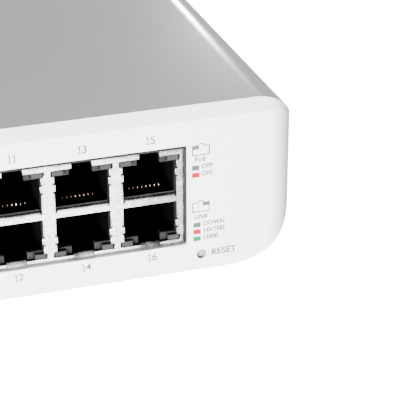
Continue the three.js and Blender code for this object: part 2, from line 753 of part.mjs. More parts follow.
// The inlet's screws run along Y, with their heads on the flange.
function inletScrew(name, side) {
  const x = (side * INLET_SCREW_SPACING) / 2;
  const mesh = screw(name, x, INLET_FLANGE.thickness + SCREW_SEAT, 0, 7, true);
  mesh.rotation.x = -Math.PI / 2;
  return mesh;
}

function inletGroup() {
  const group = new THREE.Group();
  group.position.set(INLET_X, BACK, INLET_Z);
  group.add(inletBody());
  for (const place of pinPlaces()) group.add(inletPin(place));
  group.add(inletScrew("inlet_screw_left", -1));
  group.add(inletScrew("inlet_screw_right", 1));
  return group;
}

// The supply's output lead: a flat two-wire lead that arches from one board to the other.
function supplyLead() {
  const route = new THREE.CatmullRomCurve3([
    new THREE.Vector3(2, 16, BOARD_TOP + 1.5),
    new THREE.Vector3(2, 12, BOARD_TOP + 8),
    new THREE.Vector3(-2, 0, BOARD_TOP + 11),
    new THREE.Vector3(-4, -9, BOARD_TOP + 8),
    new THREE.Vector3(-4, -12, BOARD_TOP + 1.5),
  ]);
  const section = new THREE.Shape();
  section.absellipse(0, 0, 1.1, 1.9, 0, 2 * Math.PI);
  const geometry = new THREE.ExtrudeGeometry(section, { steps: 24, extrudePath: route, curveSegments: 5 });
  return piece("supply_lead", solid(geometry), WIRE_SLEEVE);
}

// ---------------------------------------------------------------- assembly
// The origin stands under the middle of the whole box, and the inlet's screws stand out behind the case.
const INLET_PROTRUSION = INLET_FLANGE.thickness + SCREW_SEAT + SCREW_HEAD_HEIGHT;
const assembly = new THREE.Group();
assembly.position.y = -INLET_PROTRUSION / 2;
assembly.add(housing());
assembly.add(topCover());
assembly.add(feetAndCaseScrews());
assembly.add(jackBlock("right", 0));
assembly.add(jackBlock("left", 1));
assembly.add(mainBoardGroup());
assembly.add(resetSwitch());
assembly.add(resetButton());
assembly.add(statusLightPipe());
assembly.add(supplyGroup());
assembly.add(inletGroup());
assembly.add(supplyLead());

const networkSwitch = new THREE.Group();
networkSwitch.add(assembly);

export default networkSwitch;
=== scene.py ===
"""Desktop network switch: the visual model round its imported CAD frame.

Metres, +Z up, front face towards -Y.
"""

import math

import bmesh
import bpy
from mathutils import Matrix, Vector


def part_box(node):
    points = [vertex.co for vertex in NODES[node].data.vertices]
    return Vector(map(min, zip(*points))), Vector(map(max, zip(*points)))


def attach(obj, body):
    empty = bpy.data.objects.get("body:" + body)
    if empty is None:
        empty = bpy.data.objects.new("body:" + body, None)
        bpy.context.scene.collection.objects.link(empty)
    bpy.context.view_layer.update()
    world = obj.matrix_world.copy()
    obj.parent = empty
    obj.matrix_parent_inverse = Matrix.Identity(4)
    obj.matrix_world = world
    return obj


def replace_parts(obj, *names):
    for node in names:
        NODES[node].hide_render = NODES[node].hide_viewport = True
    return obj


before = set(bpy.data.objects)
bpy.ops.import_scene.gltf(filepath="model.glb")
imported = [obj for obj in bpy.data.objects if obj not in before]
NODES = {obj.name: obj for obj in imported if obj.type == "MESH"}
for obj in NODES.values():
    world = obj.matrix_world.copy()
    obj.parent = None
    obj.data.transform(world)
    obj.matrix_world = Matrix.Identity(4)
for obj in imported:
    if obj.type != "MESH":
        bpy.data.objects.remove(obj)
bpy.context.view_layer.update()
MM = 0.001
PAST = 1 * MM  # how far a cutter runs past the surface it opens
CASE = "case"

# ------------------------ sizes, from the frame and the design
HOUSING_LOW, HOUSING_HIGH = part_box("housing")
COVER_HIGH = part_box("top_cover")[1]
HALF_WIDTH = HOUSING_HIGH.x
FRONT = HOUSING_LOW.y
BACK = HOUSING_HIGH.y
BODY_BOTTOM = HOUSING_LOW.z
BODY_TOP = COVER_HIGH.z
WALL = 2.5 * MM
TOP_EDGE_RADIUS = 9.8 * MM
BOTTOM_EDGE_RADIUS = 15.7 * MM
CORNER_RADIUS = 7 * MM
SEAM_BOTTOM = HOUSING_HIGH.z
SEAM_TOP = SEAM_BOTTOM + 0.03 * MM

PORT_PITCH = 15.37 * MM
PORT_WIDTH = 12.38 * MM
PORT_MARGIN = 1.9 * MM
COLUMNS = 4
SIDES = ("right", "left")
ROWS = ("upper", "lower")
BEZEL_GAP = 0.25 * MM
LATCH_WIDTH = 4.62 * MM
STRIP_TOP = 1.55 * MM
STRIP_BOTTOM = 0.85 * MM
LIGHT_WIDTH = 2.9 * MM
LIGHT_HEIGHT = 1.35 * MM
LIGHT_INTO_BAR = 0.8 * MM
BAR_MIDDLE = BODY_BOTTOM + 18.77 * MM
BAR_HALF = 0.95 * MM

SHIELD_BOX = {side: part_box(f"jack_shield_{side}") for side in SIDES}
SHIELD_FRONT = SHIELD_BOX["right"][0].y
SHIELD_BOTTOM = SHIELD_BOX["right"][0].z
SHIELD_TOP = SHIELD_BOX["right"][1].z
OPENING_BOTTOM = SHIELD_BOTTOM - 0.3 * MM
OPENING_TOP = SHIELD_TOP + 0.65 * MM
BLOCK_RIGHT = SHIELD_BOX["right"][1].x + BEZEL_GAP
UPPER_FLOOR = BAR_MIDDLE + BAR_HALF
UPPER_CEILING = SHIELD_TOP - STRIP_TOP
LOWER_FLOOR = SHIELD_BOTTOM + STRIP_BOTTOM
LOWER_CEILING = BAR_MIDDLE - BAR_HALF


# ------------------------ camera
CAMERA_ANGLES = (-18.06, 26.34)
CAMERA_DISTANCE = 0.363
CAMERA_TARGET = Vector((BLOCK_RIGHT + 3.3 * MM, FRONT, BODY_BOTTOM + 17.71 * MM))
LENS = 145.35
SENSOR = 36


def link(thing):
    bpy.context.scene.collection.objects.link(thing)


def towards(angles):
    """The unit vector out from the switch at an azimuth and an elevation in degrees."""
    azimuth, elevation = (math.radians(value) for value in angles)
    return Vector(
        (
            math.sin(azimuth) * math.cos(elevation),
            -math.cos(azimuth) * math.cos(elevation),
            math.sin(elevation),
        )
    )


def make_camera():
    """A long lens in front and to the left, looking down on the right end of the front face."""
    back = towards(CAMERA_ANGLES)
    data = bpy.data.cameras.new("camera")
    data.sensor_width = SENSOR
    data.lens = LENS
    data.clip_start = 0.01
    data.clip_end = 50
    camera = bpy.data.objects.new("camera", data)
    camera.location = CAMERA_TARGET + back * CAMERA_DISTANCE
    camera.rotation_mode = "QUATERNION"
    camera.rotation_quaternion = (-back).to_track_quat("-Z", "Y")
    link(camera)
    bpy.context.scene.camera = camera


make_camera()


# ------------------------ materials
def map_range(tree, value, source, target):
    """A node that carries a value from the source range to the target range."""
    node = tree.nodes.new("ShaderNodeMapRange")
    for name, number in zip(("From Min", "From Max", "To Min", "To Max"), (*source, *target)):
        node.inputs[name].default_value = number
    tree.links.new(value, node.inputs["Value"])
    return node


class Look:
    """A node material under construction: a Principled shader with a few procedural layers."""

    def __init__(self, name, color, roughness, metallic=0.0):
        self.material = bpy.data.materials.new(name)
        self.material.use_nodes = True
        self.tree = self.material.node_tree
        self.shader = self.tree.nodes["Principled BSDF"]
        self.color = (*color, 1.0)
        self.shader.inputs["Base Color"].default_value = self.color
        self.shader.inputs["Roughness"].default_value = roughness
        self.shader.inputs["Metallic"].default_value = metallic
        self.roughness = roughness
        coordinates = self.tree.nodes.new("ShaderNodeTexCoord")
        self.place = coordinates.outputs["Object"]
        self.material.diffuse_color = self.color

    def wire(self, source, target):
        self.tree.links.new(source, target)

    def socket(self, name, value):
        self.shader.inputs[name].default_value = value
        return self

    def stretched(self, scale):
        mapping = self.tree.nodes.new("ShaderNodeMapping")
        mapping.inputs["Scale"].default_value = scale
        self.wire(self.place, mapping.inputs["Vector"])
        return mapping.outputs["Vector"]

    def noise(self, scale, detail=3.0, vector=None):
        node = self.tree.nodes.new("ShaderNodeTexNoise")
        node.inputs["Scale"].default_value = scale
        node.inputs["Detail"].default_value = detail
        self.wire(vector or self.place, node.inputs["Vector"])
        return node.outputs["Fac"]

    def remap(self, value, low, high):
        return map_range(self.tree, value, (0.3, 0.7), (low, high)).outputs["Result"]

    def combined(self, operation, a, b):
        """Two values, or a value and a number, put together."""
        node = self.tree.nodes.new("ShaderNodeMath")
        node.operation = operation
        self.wire(a, node.inputs[0])
        if isinstance(b, float):
            node.inputs[1].default_value = b
        else:
            self.wire(b, node.inputs[1])
        return node.outputs["Value"]

    def change_along_x(self, start, end, first, last):
        """A value that goes smoothly from first to last between two X positions."""
        split = self.tree.nodes.new("ShaderNodeSeparateXYZ")
        self.wire(self.place, split.inputs["Vector"])
        node = map_range(self.tree, split.outputs["X"], (start, end), (first, last))
        node.interpolation_type = "SMOOTHSTEP"
        return node.outputs["Result"]

    def mottle(self, value, share, reach=0.2):
        """The base colour varied lighter and darker by share, over values within reach of a half."""
        ramp = self.tree.nodes.new("ShaderNodeValToRGB")
        dark, light = ramp.color_ramp.elements
        dark.position, light.position = 0.5 - reach, 0.5 + reach
        dark.color = (*(c * (1 - share) for c in self.color[:3]), 1)
        light.color = (*(min(1, c * (1 + share)) for c in self.color[:3]), 1)
        self.wire(value, ramp.inputs["Fac"])
        self.wire(ramp.outputs["Color"], self.shader.inputs["Base Color"])
        return self

    def rough(self, value, spread):
        low = max(0.02, self.roughness - spread)
        high = min(1.0, self.roughness + spread)
        self.wire(self.remap(value, low, high), self.shader.inputs["Roughness"])
        return self

    def bump(self, value, height):
        node = self.tree.nodes.new("ShaderNodeBump")
        node.inputs["Strength"].default_value = 1.0
        node.inputs["Distance"].default_value = height
        self.wire(value, node.inputs["Height"])
        self.wire(node.outputs["Normal"], self.shader.inputs["Normal"])
        return self


def moulded(
    name, color, roughness, grain=0.35 * MM, height=0.004 * MM, share=0.02, specular=0.4, patches=0.05
):
    """Moulded plastic: a fine spark texture, and faint cloudiness over a few centimetres."""
    look = Look(name, color, roughness)
    look.mottle(look.noise(45, 2), share)
    look.rough(look.noise(160, 3), patches)
    look.bump(look.noise(1 / grain, 2), height)
    look.socket("Specular IOR Level", specular)
    return look.material


def brushed(name, color, roughness, stretch):
    """Metal whose fine lines run along the axis that stretch leaves short."""
    look = Look(name, color, roughness, metallic=1.0)
    lines = look.noise(1, 4, look.stretched(stretch))
    look.mottle(lines, 0.06)
    look.rough(lines, 0.08)
    look.bump(lines, 0.002 * MM)
    return look.material


def tinned(name):
    """Tin-plated sheet: cloudy patches and a fine grain, with painted shade that darkens it towards the
    right end of the right block.
    """
    look = Look(name, (0.78, 0.78, 0.785), 0.38, metallic=1.0)
    clouds = look.noise(330, 4)
    grain = look.noise(2200, 3, look.stretched((1, 1, 1.6)))
    cloud_part = look.combined("MULTIPLY", clouds, 0.45)
    grain_part = look.combined("MULTIPLY", grain, 0.55)
    both = look.combined("ADD", cloud_part, grain_part)
    # painted shade: the base colour goes from slightly lighter to darker towards the right end of the
    # right block
    painted_shade_along_x = look.change_along_x(BLOCK_RIGHT - 20 * MM, BLOCK_RIGHT - 3 * MM, 0.04, -0.12)
    look.mottle(look.combined("ADD", both, painted_shade_along_x), 0.75, 0.13)
    look.rough(clouds, 0.12)
    look.bump(grain, 0.016 * MM)
    return look.material


def board_mask(name):
    """Green solder mask over faint copper tracks."""
    look = Look(name, (0.012, 0.10, 0.045), 0.35)
    tracks = look.tree.nodes.new("ShaderNodeTexBrick")
    tracks.inputs["Scale"].default_value = 220
    tracks.inputs["Mortar Size"].default_value = 0.012
    tracks.inputs["Color1"].default_value = (0.012, 0.10, 0.045, 1)
    tracks.inputs["Color2"].default_value = (0.010, 0.085, 0.04, 1)
    tracks.inputs["Mortar"].default_value = (0.03, 0.17, 0.08, 1)
    look.wire(look.place, tracks.inputs["Vector"])
    look.wire(tracks.outputs["Color"], look.shader.inputs["Base Color"])
    look.bump(look.noise(700, 2), 0.01 * MM)
    look.socket("Coat Weight", 0.3)
    return look.material


CASE_GRAIN = {"grain": 0.3 * MM, "height": 0.0025 * MM, "share": 0.004, "patches": 0.008}
WHITE = moulded("case_white_plastic", (0.81, 0.81, 0.81), 0.42, **CASE_GRAIN)
# partly painted shade: the cover is a darker copy of the case white, standing in for the shade on its
# band and top
COVER_PAINTED_SHADE_WHITE = moulded("cover_white_plastic_painted_shade", (0.64, 0.64, 0.64), 0.22, **CASE_GRAIN)
# painted shade: a grey copy of the case white for the rim faces that turn under
RIM_PAINTED_SHADE = moulded("case_rim_painted_shade_plastic", (0.36, 0.36, 0.365), 0.5, **CASE_GRAIN)
RUBBER = moulded("foot_rubber", (0.035, 0.035, 0.037), 0.8, grain=0.5 * MM, height=0.02 * MM, share=0.15)
BLACK = moulded("jack_black_plastic", (0.0075, 0.0075, 0.008), 0.5, share=0.2, specular=0.25)
# painted shade: a near-black copy of the jack plastic for the deep socket walls and the contact modules
SOCKET_PAINTED_SHADE_BLACK = (0.0013, 0.0013, 0.0014)
DEEP_PAINTED_SHADE_BLACK = moulded("socket_painted_shade_black_plastic", SOCKET_PAINTED_SHADE_BLACK, 0.9, height=0.006 * MM, share=0.3, specular=0)
# painted light: a grey copy of the jack black for the lit upper sills
SILL_PAINTED_LIGHT = moulded("socket_sill_painted_light_grey", (0.60, 0.60, 0.60), 0.5, share=0.2, specular=0.25)
INLET_BLACK = moulded("inlet_black_plastic", (0.016, 0.016, 0.017), 0.5, height=0.006 * MM, share=0.2)
# painted shade: a grey copy of the case white for the reset hole's wall
HOLE_PAINTED_SHADE = moulded("hole_wall_painted_shade_plastic", (0.34, 0.34, 0.345), 0.5, share=0.05)
PALE_GREY = moulded("button_pale_plastic", (0.27, 0.27, 0.272), 0.5, share=0.03)
LIGHT_PIPE = moulded("light_pipe_plastic", (0.0155, 0.016, 0.0158), 0.35, share=0.5, specular=0.25)
SHIELD = tinned("shield_tinned_steel")
STEEL = brushed("screw_steel", (0.62, 0.63, 0.64), 0.32, (500, 500, 120))
ALUMINIUM = brushed("bare_aluminium", (0.66, 0.67, 0.68), 0.38, (120, 700, 700))
PIN_METAL = brushed("inlet_pin_metal", (0.80, 0.74, 0.58), 0.28, (700, 120, 700))
GOLD = brushed("contact_gold", (0.86, 0.83, 0.77), 0.3, (600, 200, 600))
# painted shade: a near-black copy of the gold for the wires behind the tips
GOLD_PAINTED_SHADE = brushed("contact_gold_painted_shade", (0.0045, 0.0038, 0.0032), 0.6, (600, 200, 600))
BOARD = board_mask("board_green_mask")
EPOXY_BLACK = (0.025, 0.025, 0.027)
CHIP = moulded("chip_black_epoxy", EPOXY_BLACK, 0.6, grain=0.25 * MM, height=0.006 * MM, share=0.15)
CORE_GREY = (0.045, 0.045, 0.048)
FERRITE = moulded("ferrite_grey", CORE_GREY, 0.75, grain=0.3 * MM, height=0.02 * MM, share=0.2)
SLEEVE = moulded("capacitor_sleeve", (0.02, 0.025, 0.05), 0.3, share=0.1)
TAPE = moulded("winding_tape", (0.68, 0.45, 0.05), 0.35, share=0.08)
CERAMIC = moulded("fuse_ceramic", (0.75, 0.72, 0.65), 0.4, share=0.04)
FIBRE = moulded("insulating_fibre", (0.62, 0.57, 0.42), 0.6, share=0.08)
WIRE = moulded("lead_sleeve", (0.30, 0.012, 0.015), 0.4, share=0.06)


def ink(name, color):
    """Pad-printed ink: a dry surface with slightly uneven cover."""
    look = Look(name, color, 0.6)
    look.mottle(look.noise(2500, 3), 0.04)
    look.bump(look.noise(4000, 2), 0.001 * MM)
    look.socket("Specular IOR Level", 0.1)
    return look.material


INK_PALE = ink("ink_pale_grey", (0.095, 0.098, 0.10))
INK_DARK = ink("ink_dark_grey", (0.020, 0.021, 0.022))
INK_SLATE = ink("ink_slate", (0.064, 0.080, 0.080))
INK_ORANGE = ink("ink_orange", (0.365, 0.004, 0.0042))
INK_GREEN = ink("ink_green", (0.001, 0.158, 0.052))


# ------------------------ mesh helpers
def new_piece(name, mesh, material, body=CASE):
    """Links a mesh as a piece that rides on a body."""
    mesh.materials.clear()
    mesh.materials.append(material)
    piece = bpy.data.objects.new(name, mesh)
    link(piece)
    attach(piece, body)
    return piece


def mesh_of(name, bm):
    mesh = bpy.data.meshes.new(name)
    bm.normal_update()
    bm.to_mesh(mesh)
    bm.free()
    return mesh


def smooth_by_angle(mesh, degrees=30):
    for polygon in mesh.polygons:
        polygon.use_smooth = True
    mesh.set_sharp_from_angle(angle=math.radians(degrees))


INTO_MM = Matrix.Scale(1 / MM, 4)
INTO_METRES = Matrix.Scale(MM, 4)


def evaluated_mesh(holder):
    """The mesh that a linked object comes to, in place of the object."""
    bpy.context.view_layer.update()
    graph = bpy.context.evaluated_depsgraph_get()
    mesh = bpy.data.meshes.new_from_object(holder.evaluated_get(graph))
    bpy.data.objects.remove(holder)
    return mesh


def apply_modifiers(mesh, add):
    """The mesh after the modifiers that add(object) puts on it, worked in exact millimetres."""
    mesh.transform(INTO_MM)
    holder = bpy.data.objects.new("holder", mesh)
    link(holder)
    add(holder)
    result = evaluated_mesh(holder)
    result.transform(INTO_METRES)
    return result


def add_bevel(holder, width, segments, degrees):
    """Puts on a modifier that rounds the edges which turn by more than some degrees."""
    modifier = holder.modifiers.new("rounded_edges", "BEVEL")
    modifier.width = width
    modifier.segments = segments
    modifier.limit_method = "ANGLE"
    modifier.angle_limit = math.radians(degrees)
    modifier.use_clamp_overlap = True
    return modifier


def bevelled(mesh, width, segments=2):
    """The mesh with its hard edges rounded."""

    def add(holder):
        add_bevel(holder, width / MM, segments, 35).miter_outer = "MITER_ARC"

    return apply_modifiers(mesh, add)


def carved(mesh, cutters):
    """The mesh with all of the cutter meshes taken out."""
    joined = bmesh.new()
    for cutter in cutters:
        joined.from_mesh(cutter)
    tool = bpy.data.objects.new("cutter", mesh_of("cutter", joined))
    tool.data.transform(INTO_MM)
    link(tool)

    def add(holder):
        modifier = holder.modifiers.new("carve", "BOOLEAN")
        modifier.operation = "DIFFERENCE"
        modifier.solver = "EXACT"
        modifier.object = tool

    result = apply_modifiers(mesh, add)
    bpy.data.objects.remove(tool)
    return result


def add_box(bm, low, high):
    """Adds an axis-aligned box and returns its vertices."""
    size = Vector(high) - Vector(low)
    middle = (Vector(high) + Vector(low)) / 2
    matrix = Matrix.Translation(middle) @ Matrix.Diagonal((*size, 1))
    return bmesh.ops.create_cube(bm, size=1, matrix=matrix)["verts"]


def box_mesh(low, high):
    bm = bmesh.new()
    add_box(bm, low, high)
    return mesh_of("box", bm)


def rod_mesh(start, end, radius, sides=32):
    """A closed cylinder between two points."""
    start, end = Vector(start), Vector(end)
    along = end - start
    matrix = Matrix.Translation((start + end) / 2) @ along.to_track_quat("Z", "Y").to_matrix().to_4x4()
    bm = bmesh.new()
    bmesh.ops.create_cone(
        bm,
        cap_ends=True,
        segments=sides,
        radius1=radius,
        radius2=radius,
        depth=along.length,
        matrix=matrix,
    )
    return mesh_of("rod", bm)


def round_edges(bm, edges, radius, segments):
    shape = {"profile": 0.5, "affect": "EDGES", "clamp_overlap": True}
    bmesh.ops.bevel(bm, geom=edges, offset=radius, segments=segments, **shape)


def prism(points, step, fillet=0.0):
    """A closed solid: an outline pushed along by step, with its first face's rim rounded by fillet."""
    bm = bmesh.new()
    face = bm.faces.new([bm.verts.new([at / MM for at in point]) for point in points])
    made = bmesh.ops.extrude_face_region(bm, geom=[face])
    moved = [v for v in made["geom"] if isinstance(v, bmesh.types.BMVert)]
    bmesh.ops.translate(bm, verts=moved, vec=[length / MM for length in step])
    bmesh.ops.recalc_face_normals(bm, faces=bm.faces)
    if fillet:
        far = set(moved)
        rim = [edge for edge in bm.edges if far.isdisjoint(edge.verts)]
        round_edges(bm, rim, fillet / MM, segments=2)
    bmesh.ops.triangulate(bm, faces=bm.faces, ngon_method="EAR_CLIP")
    mesh = mesh_of("prism", bm)
    mesh.transform(INTO_METRES)
    return mesh


def plate_mesh(outline, y0, y1, fillet=0.0):
    """A flat plate with an (x, z) outline, from y0 back to y1."""
    return prism([(x, y0, z) for x, z in outline], (0, y1 - y0, 0), fillet)


def along_x(outline, x0, x1):
    """A closed solid with a (y, z) outline between two X positions."""
    return prism([(x0, y, z) for y, z in outline], (x1 - x0, 0, 0))


def merged(meshes):
    bm = bmesh.new()
    for mesh in meshes:
        bm.from_mesh(mesh)
    return mesh_of("merged", bm)


# ------------------------ case
LOWER_RIM_RADIUS = 0.45 * MM
PLAN_STEPS = 14
EDGE_STEPS = 18
COVER_DRAFT = math.radians(10)
SEAM_TURN = 0.4 * MM
SEAM_DIP = 3.3 * MM
GAP_RIGHT = 0.3 * MM
LIP_GAP = 0.3 * MM
LIP_THICKNESS = 1.4 * MM
LIP_DROP = 2.3 * MM


def case_ring(bm, reach, z, inset):
    """One level of the case: the plan outline, cut off square at the half width in reach."""
    corner = CORNER_RADIUS - inset
    flat = HALF_WIDTH - CORNER_RADIUS
    reach = min(reach, HALF_WIDTH - inset)
    turn = math.asin(min(1.0, (reach - flat) / corner)) if reach > flat else 0.0
    quadrant = []
    for i in range(PLAN_STEPS + 1):
        angle = turn * i / PLAN_STEPS
        x = flat + corner * math.sin(angle) if reach > flat else reach
        quadrant.append((x, corner * (1 - math.cos(angle))))
    last = quadrant[-1][1]
    for i in range(1, PLAN_STEPS // 2 + 1):
        quadrant.append((reach, last + (corner - last) * i * 2 / PLAN_STEPS))
    front, back = FRONT + inset, BACK - inset
    points = [(x, front + y) for x, y in quadrant]
    points += [(x, back - y) for x, y in reversed(quadrant)]
    points += [(-x, back - y) for x, y in quadrant]
    points += [(-x, front + y) for x, y in reversed(quadrant)]
    return [bm.verts.new((x, y, z)) for x, y in points]


def bridge(bm, lower, upper, outward=True):
    count = len(lower)
    for i in range(count):
        j = (i + 1) % count
        quad = (lower[i], lower[j], upper[j], upper[i])
        bm.faces.new(quad if outward else tuple(reversed(quad)))


def profile_levels(inset, low, high):
    """(reach, z) pairs of the front outline between two heights, bottom to top."""
    bottom = BODY_BOTTOM + inset
    top = BODY_TOP - inset
    side = HALF_WIDTH - inset
    bottom_radius = BOTTOM_EDGE_RADIUS - inset
    top_radius = TOP_EDGE_RADIUS - inset

    def reach_at(z):
        if z < bottom + bottom_radius:
            drop = bottom + bottom_radius - z
            return side - bottom_radius + math.sqrt(max(0.0, bottom_radius**2 - drop**2))
        if z > top - top_radius:
            rise = z - (top - top_radius)
            return side - top_radius + math.sqrt(max(0.0, top_radius**2 - rise**2))
        return side

    heights = set()
    for i in range(EDGE_STEPS + 1):
        angle = math.pi / 2 * i / EDGE_STEPS
        heights.add(bottom + bottom_radius * (1 - math.cos(angle)))
        heights.add(top - top_radius * (1 - math.cos(angle)))
    heights = sorted(z for z in heights if low + 1e-6 < z < high - 1e-6)
    return [(reach_at(z), z) for z in (max(low, bottom), *heights, min(high, top))]


def skin(bm, inset, low, high, outward):
    """The rings of one face of the shell, bridged, and the first and last of them."""
    rings = [case_ring(bm, reach, z, inset) for reach, z in profile_levels(inset, low, high)]
    for lower, upper in zip(rings, rings[1:]):
        bridge(bm, lower, upper, outward)
    return rings[0], rings[-1]


def cap(bm, ring, up):
    face = bm.faces.new(ring)
    face.normal_update()
    if (face.normal.z > 0) != up:
        face.normal_flip()


def round_lower_rims(bm):
    """Rounds the tub's outer edge round the front and back faces."""
    rims = []
    for edge in bm.edges:
        on_face = any(all(abs(v.co.y - y) < 1e-6 for v in edge.verts) for y in (FRONT, BACK))
        below_seam = all(v.co.z < SEAM_BOTTOM - 1 * MM for v in edge.verts)
        if on_face and below_seam and edge.calc_face_angle(0) > math.radians(35):
            rims.append(edge)
    round_edges(bm, rims, LOWER_RIM_RADIUS, segments=4)


def shell_mesh():
    """The whole case as one closed, hollow shell."""
    bm = bmesh.new()
    for inset, outward in ((0.0, True), (WALL, False)):
        low, high = skin(bm, inset, BODY_BOTTOM, BODY_TOP, outward)
        cap(bm, low, up=not outward)
        cap(bm, high, up=outward)
    bmesh.ops.remove_doubles(bm, verts=bm.verts, dist=1e-6)
    bmesh.ops.dissolve_degenerate(bm, edges=bm.edges, dist=1e-6)
    bmesh.ops.dissolve_limit(bm, angle_limit=math.radians(0.4), verts=bm.verts, edges=bm.edges)
    round_lower_rims(bm)
    return mesh_of("shell", bm)


def seam_cutter(height, far):
    """A cutter for one side of the seam, which is level along the faces and dips at the corners."""
    clear = 2 * PAST
    front, back = FRONT + SEAM_TURN, BACK - SEAM_TURN
    dip_front, dip_back = FRONT + CORNER_RADIUS / 2, BACK - CORNER_RADIUS / 2
    line = [(FRONT - clear, height), (front, height), (dip_front, height - SEAM_DIP)]
    line += [(dip_back, height - SEAM_DIP), (back, height), (BACK + clear, height)]
    outline = [*line, (BACK + clear, far), (FRONT - clear, far)]
    return along_x(outline, -HALF_WIDTH - clear, HALF_WIDTH + clear)


def leant_back(mesh):
    """Draws a mesh in towards the middle as it rises above the seam."""
    middle_y = (FRONT + BACK) / 2
    for vertex in mesh.vertices:
        rise = max(0.0, vertex.co.z - SEAM_TOP)
        lean = rise * math.tan(COVER_DRAFT) / (BACK - middle_y)
        vertex.co.y = middle_y + (vertex.co.y - middle_y) * (1 - lean)


def block_left(side):
    return SHIELD_BOX[side][0].x - BEZEL_GAP


def block_right(side):
    return SHIELD_BOX[side][1].x + BEZEL_GAP


RESET_LOW, RESET_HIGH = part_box("reset_button")
RESET_CENTRE = (RESET_LOW + RESET_HIGH) / 2
RESET_HOLE_RADIUS = 1.15 * MM
STATUS_LOW, STATUS_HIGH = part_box("status_light_pipe")
STATUS_RADIUS = 1.5 * MM
INLET_LOW, INLET_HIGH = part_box("mains_inlet")
INLET_X = (INLET_LOW.x + INLET_HIGH.x) / 2
INLET_Z = (INLET_LOW.z + INLET_HIGH.z) / 2
SCREW_CORNERS = ("front_left", "front_right", "rear_left", "rear_right")


INLET_HALF_WIDTH = 14 * MM
INLET_HALF_HEIGHT = 10.2 * MM
SLOT_WIDTH = 2.2 * MM
SLOT_STEPS = 10
REAR_SLOTS = 14
REAR_SLOT_PITCH = 5.2 * MM
REAR_SLOT_START = -12 * MM
REAR_SLOT_BOTTOM = BODY_BOTTOM + 12 * MM
REAR_SLOT_LENGTH = 16 * MM
FLOOR_SLOTS = 11
FLOOR_SLOT_PITCH = 6.5 * MM
FLOOR_SLOT_MIDDLE = (FRONT + BACK) / 2 - 36 * MM
FLOOR_SLOT_REACH = 13 * MM
RECESS_GAP = 0.3 * MM
RECESS_DEPTH = 2.4 * MM


def slot_cutter(x, z0, z1, y0, y1):
    """A slot with round ends, cut along Y."""
    radius = SLOT_WIDTH / 2
    outline = []
    for start, z in ((0, z1 - radius), (math.pi, z0 + radius)):
        for i in range(SLOT_STEPS + 1):
            angle = start + math.pi * i / SLOT_STEPS
            outline.append((x + radius * math.cos(angle), z + radius * math.sin(angle)))
    return plate_mesh(outline, y0, y1)


def front_cutters():
    """The two jack openings, the reset hole and the status light's hole."""
    for side in SIDES:
        low = (block_left(side), FRONT - PAST, OPENING_BOTTOM)
        high = (block_right(side) + GAP_RIGHT, FRONT + WALL + PAST, OPENING_TOP)
        yield box_mesh(low, high)
    status_x = (STATUS_LOW.x + STATUS_HIGH.x) / 2
    for x, z, radius in (
        (RESET_CENTRE.x, RESET_CENTRE.z, RESET_HOLE_RADIUS),
        (status_x, STATUS_HIGH.z - STATUS_RADIUS, STATUS_RADIUS + 0.1 * MM),
    ):
        yield rod_mesh((x, FRONT - PAST, z), (x, FRONT + 2 * WALL, z), radius, 36)


def rear_cutters():
    """The mains inlet's opening and a row of upright air slots."""
    y0, y1 = BACK - 2 * WALL, BACK + PAST
    low = (INLET_X - INLET_HALF_WIDTH, y0, INLET_Z - INLET_HALF_HEIGHT)
    high = (INLET_X + INLET_HALF_WIDTH, y1, INLET_Z + INLET_HALF_HEIGHT)
    yield box_mesh(low, high)
    for i in range(REAR_SLOTS):
        x = REAR_SLOT_START + i * REAR_SLOT_PITCH
        yield slot_cutter(x, REAR_SLOT_BOTTOM, REAR_SLOT_BOTTOM + REAR_SLOT_LENGTH, y0, y1)


def floor_cutters():
    """Air slots in the floor, and a recess for each case screw."""
    bottom = BODY_BOTTOM - PAST
    for i in range(FLOOR_SLOTS):
        x = (i - (FLOOR_SLOTS - 1) / 2) * FLOOR_SLOT_PITCH
        low = (x - SLOT_WIDTH / 2, FLOOR_SLOT_MIDDLE - FLOOR_SLOT_REACH, bottom)
        high = (x + SLOT_WIDTH / 2, FLOOR_SLOT_MIDDLE + FLOOR_SLOT_REACH, BODY_BOTTOM + WALL + PAST)
        yield box_mesh(low, high)
    for corner in SCREW_CORNERS:
        low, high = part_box(f"case_screw_{corner}")
        middle = (low + high) / 2
        start = (middle.x, middle.y, bottom)
        end = (middle.x, middle.y, BODY_BOTTOM + RECESS_DEPTH)
        yield rod_mesh(start, end, (high.x - low.x) / 2 + RECESS_GAP)


def shade_case(mesh):
    """Puts painted shade, as darker greys of the case plastic, on the rims that turn under the front and
    back and on the reset hole's wall.
    """
    mesh.materials.append(RIM_PAINTED_SHADE)
    mesh.materials.append(HOLE_PAINTED_SHADE)
    for polygon in mesh.polygons:
        at, normal = polygon.center, polygon.normal
        near_face = min(at.y - FRONT, BACK - at.y) < LOWER_RIM_RADIUS
        from_hole = math.hypot(at.x - RESET_CENTRE.x, at.z - RESET_CENTRE.z)
        turned_under = normal.z < -0.12 and abs(normal.x) < 0.35
        in_hole = from_hole < RESET_HOLE_RADIUS + 0.05 * MM
        # painted shade on the rim faces that turn under
        if near_face and turned_under and at.z < BODY_BOTTOM + 1 * MM:
            polygon.material_index = 1
        # painted shade on the reset hole's wall
        elif in_hole and FRONT + 0.1 * MM < at.y < FRONT + WALL:
            polygon.material_index = 2


